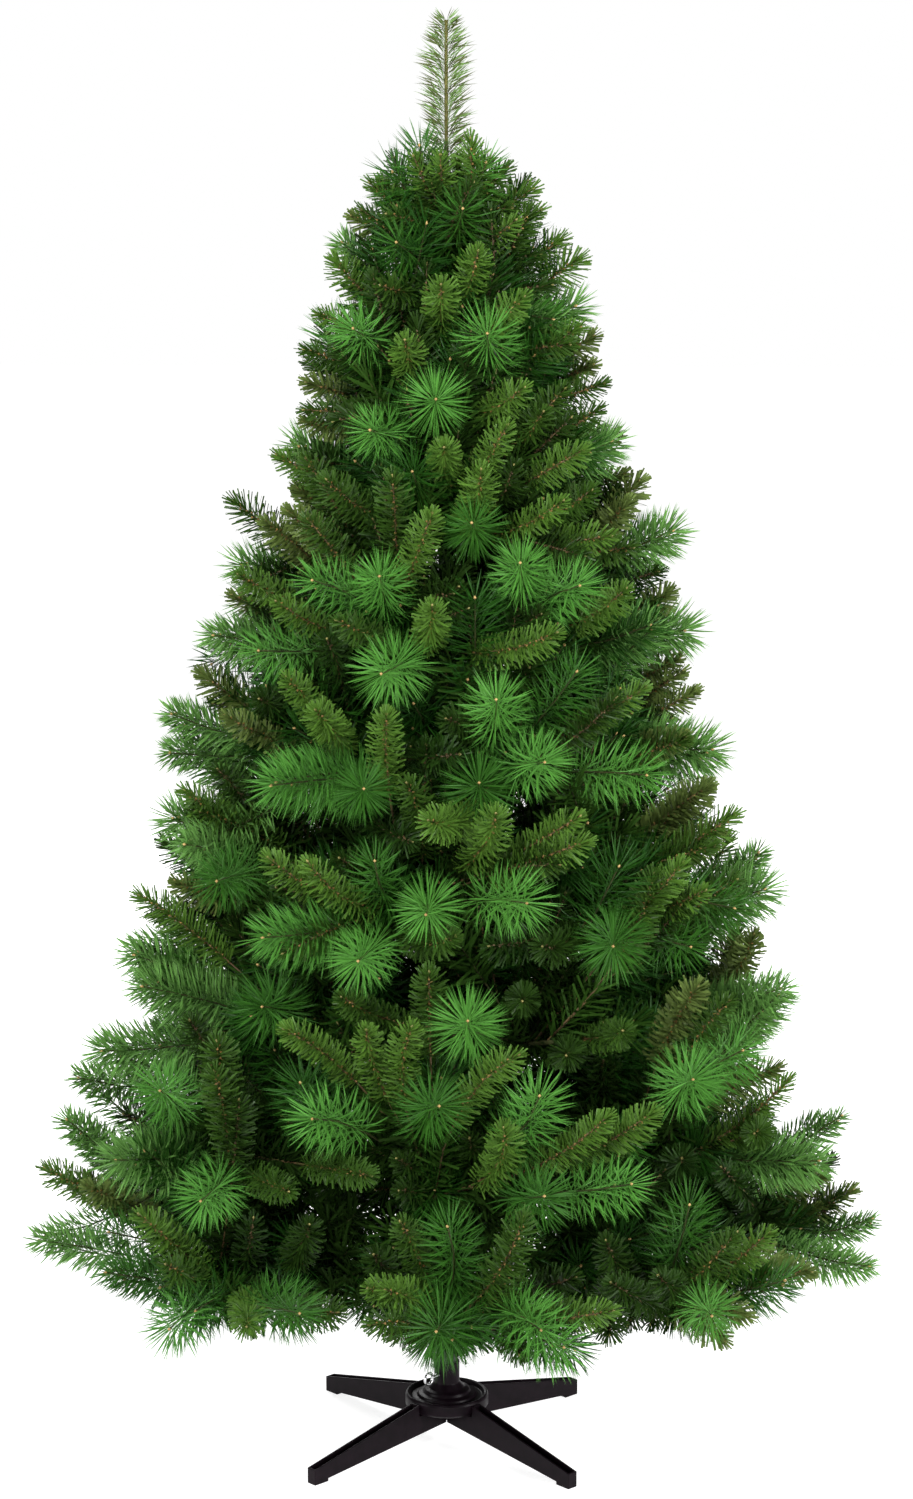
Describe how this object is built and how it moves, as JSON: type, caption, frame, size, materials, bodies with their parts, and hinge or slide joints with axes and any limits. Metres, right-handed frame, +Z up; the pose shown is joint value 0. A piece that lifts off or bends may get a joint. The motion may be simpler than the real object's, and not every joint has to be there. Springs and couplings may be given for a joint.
{
  "type": "artificial christmas tree",
  "caption": "Full conical artificial Christmas tree of mixed fir and pine tips, with a straight pole and a low black stand with spreading legs.",
  "frame": {"origin": "on the floor under the axis of the trunk", "axes": "+Z up along the trunk; +X to the right and +Y to the back of the picture's view; the stand's legs point half way between X and Y"},
  "size_m": [1.3068, 1.3068, 2.1],
  "materials": {
    "needles": "matte",
    "branch_wire": "satin",
    "pole_steel": "satin",
    "stand_plastic": "satin",
    "screw_steel": "bright"
  },
  "bodies": {
    "root": {"trunk": "pole_steel", "bough_1_1": "branch_wire", "bough_1_2": "branch_wire", "bough_1_3": "branch_wire", "bough_1_4": "branch_wire", "bough_1_5": "branch_wire", "bough_1_6": "branch_wire", "bough_1_7": "branch_wire", "bough_1_8": "branch_wire", "bough_2_1": "branch_wire", "bough_2_2": "branch_wire", "bough_2_3": "branch_wire", "bough_2_4": "branch_wire", "bough_2_5": "branch_wire", "bough_2_6": "branch_wire", "mass_1_1": "needles", "mass_1_2": "needles", "mass_1_3": "needles", "mass_1_4": "needles", "mass_1_5": "needles", "mass_1_6": "needles", "mass_1_7": "needles", "mass_1_8": "needles", "mass_2_1": "needles", "mass_2_2": "needles", "mass_2_3": "needles", "mass_2_4": "needles", "mass_2_5": "needles", "mass_2_6": "needles", "mass_3_1": "needles", "mass_3_2": "needles", "mass_3_3": "needles", "mass_3_4": "needles", "mass_3_5": "needles", "mass_4_1": "needles", "mass_4_2": "needles", "mass_4_3": "needles", "mass_4_4": "needles", "mass_4_5": "needles", "mass_5_1": "needles", "mass_5_2": "needles", "mass_5_3": "needles", "mass_5_4": "needles", "mass_6_1": "needles", "mass_6_2": "needles", "mass_6_3": "needles", "mass_6_4": "needles", "mass_7_1": "needles", "mass_7_2": "needles", "mass_7_3": "needles", "mass_8_1": "needles", "mass_8_2": "needles", "mass_8_3": "needles", "leader": "needles", "stand_hub": "stand_plastic", "stand_leg_1": "stand_plastic", "stand_leg_2": "stand_plastic", "stand_leg_3": "stand_plastic", "stand_leg_4": "stand_plastic", "thumb_screw": "screw_steel"}
  },
  "joints": []
}
